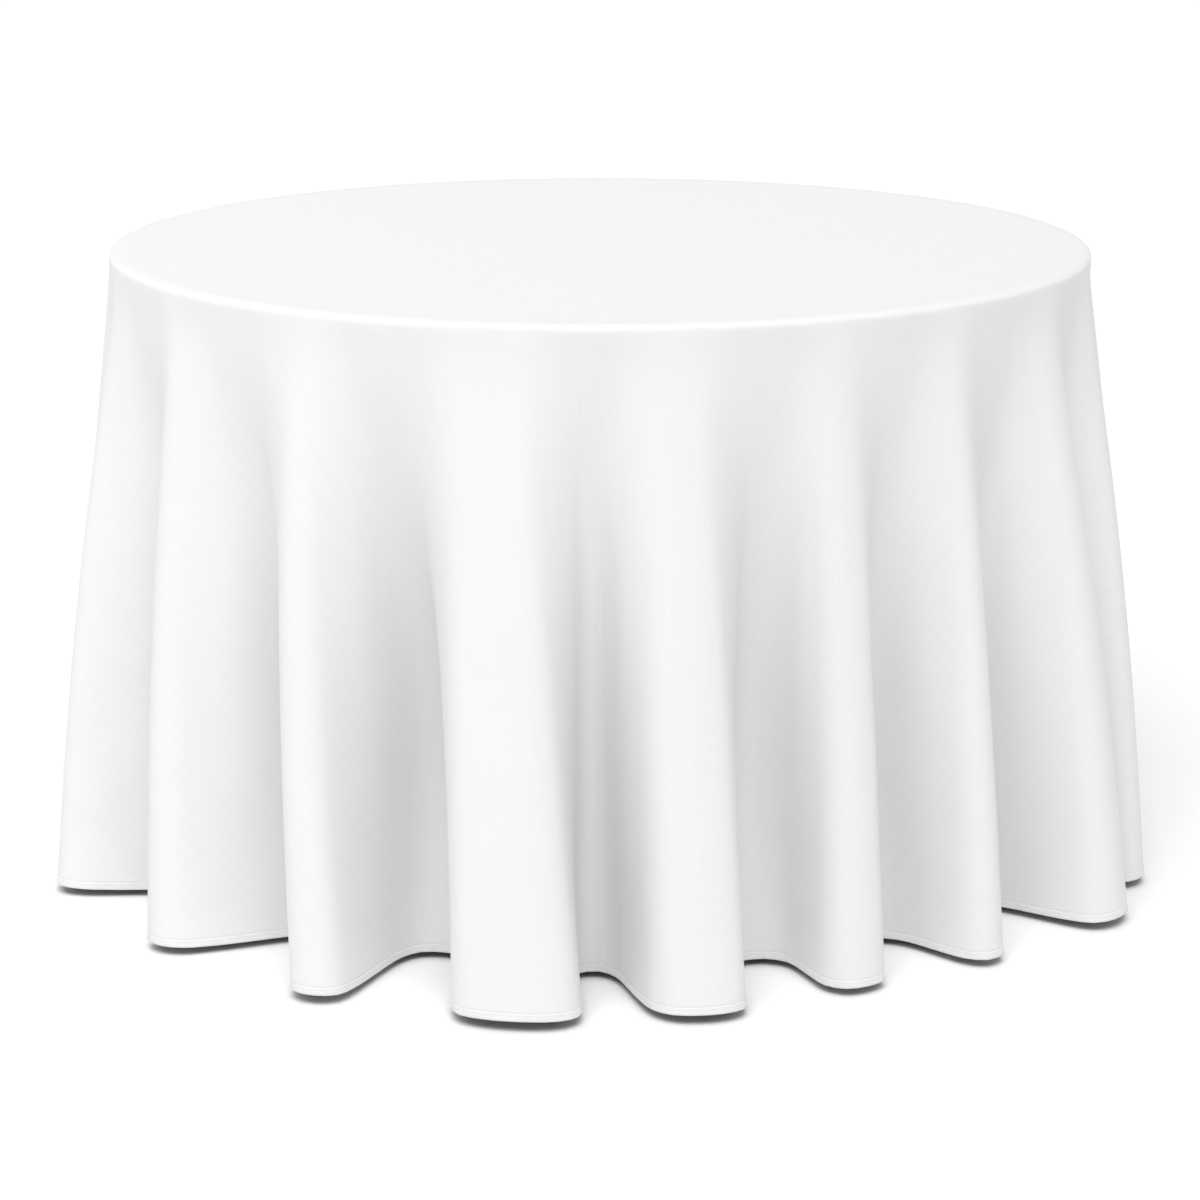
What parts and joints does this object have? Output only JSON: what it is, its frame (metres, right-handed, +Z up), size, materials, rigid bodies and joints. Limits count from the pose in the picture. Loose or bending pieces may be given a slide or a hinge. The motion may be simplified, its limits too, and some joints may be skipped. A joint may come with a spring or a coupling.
{
  "type": "tablecloth on a round table",
  "caption": "Round white floor-length tablecloth hanging in deep folds over a round folding banquet table with nesting leg sets and jackknife braces.",
  "frame": {"origin": "on the floor under the middle of the table", "axes": "+Z up, -Y towards the front, +X to the right; leg set a is at -X and leg set b at +X"},
  "size_m": [1.3957, 1.4766, 0.764],
  "materials": {
    "cloth": "matte",
    "hem": "matte",
    "plywood": "satin",
    "rail_wood": "satin",
    "moulding": "satin",
    "frame_steel": "satin",
    "zinc": "satin",
    "screws": "satin",
    "foot_rubber": "matte"
  },
  "bodies": {
    "table": {"table_top": "plywood", "edge_moulding": "moulding", "rail_front": "rail_wood", "rail_back": "rail_wood", "saddle_a_front": "zinc", "saddle_a_back": "zinc", "saddle_b_front": "zinc", "saddle_b_back": "zinc", "saddle_screw_a_front_1": "screws", "saddle_screw_a_front_2": "screws", "saddle_screw_a_back_1": "screws", "saddle_screw_a_back_2": "screws", "saddle_screw_b_front_1": "screws", "saddle_screw_b_front_2": "screws", "saddle_screw_b_back_1": "screws", "saddle_screw_b_back_2": "screws", "brace_bracket_a": "zinc", "brace_bracket_b": "zinc", "bracket_pin_a": "screws", "bracket_pin_b": "screws", "bracket_screw_a_1": "screws", "bracket_screw_a_2": "screws", "bracket_screw_b_1": "screws", "bracket_screw_b_2": "screws"},
    "leg_set_a": {"pivot_tube_a": "frame_steel", "leg_tube_a_front": "frame_steel", "leg_tube_a_back": "frame_steel", "stretcher_a": "frame_steel", "brace_stop_a_inner": "zinc", "brace_stop_a_outer": "zinc", "foot_a_front": "foot_rubber", "foot_a_back": "foot_rubber"},
    "leg_set_b": {"pivot_tube_b": "frame_steel", "leg_tube_b_front": "frame_steel", "leg_tube_b_back": "frame_steel", "stretcher_b": "frame_steel", "brace_stop_b_inner": "zinc", "brace_stop_b_outer": "zinc", "foot_b_front": "foot_rubber", "foot_b_back": "foot_rubber"},
    "brace_lower_a": {"brace_a_lower": "zinc"},
    "brace_upper_a": {"brace_a_upper": "zinc", "elbow_rivet_a": "screws"},
    "brace_lower_b": {"brace_b_lower": "zinc"},
    "brace_upper_b": {"brace_b_upper": "zinc", "elbow_rivet_b": "screws"},
    "cloth": {"tablecloth": "cloth", "tablecloth_hem": "hem"}
  },
  "joints": [
    {"name": "leg_a_fold", "type": "hinge", "parent": "table", "child": "leg_set_a", "pos_m": [-0.3796, 0, 0.722], "axis": [0, -1, 0], "range_deg": [0, 93.17]},
    {"name": "leg_b_fold", "type": "hinge", "parent": "table", "child": "leg_set_b", "pos_m": [0.3796, 0, 0.682], "axis": [0, 1, 0], "range_deg": [0, 93.36]},
    {"name": "brace_a_knee", "type": "hinge", "parent": "leg_set_a", "child": "brace_lower_a", "pos_m": [-0.39783, 0.016, 0.39291], "axis": [0, -1, 0], "range_deg": [-132.8, 0.02]},
    {"name": "brace_a_hang", "type": "hinge", "parent": "table", "child": "brace_upper_a", "pos_m": [0, 0.0206, 0.722], "axis": [0, -1, 0], "range_deg": [-0.02, 140.43]},
    {"name": "brace_b_knee", "type": "hinge", "parent": "leg_set_b", "child": "brace_lower_b", "pos_m": [0.3989, -0.016, 0.35296], "axis": [0, 1, 0], "range_deg": [-132.9, 0.02]},
    {"name": "brace_b_hang", "type": "hinge", "parent": "table", "child": "brace_upper_b", "pos_m": [0, -0.0206, 0.682], "axis": [0, 1, 0], "range_deg": [-0.02, 140.51]},
    {"name": "cloth_lift", "type": "slide", "parent": "table", "child": "cloth", "axis": [0, 0, 1], "range_m": [0, 0.8], "deforming": ["tablecloth", "tablecloth_hem"]}
  ],
  "couplings": [
    {"joint": "brace_a_knee", "follows": "leg_a_fold", "ratio": -1.425},
    {"joint": "brace_a_hang", "follows": "leg_a_fold", "ratio": 1.5069},
    {"joint": "brace_b_knee", "follows": "leg_b_fold", "ratio": -1.4233},
    {"joint": "brace_b_hang", "follows": "leg_b_fold", "ratio": 1.5048}
  ]
}
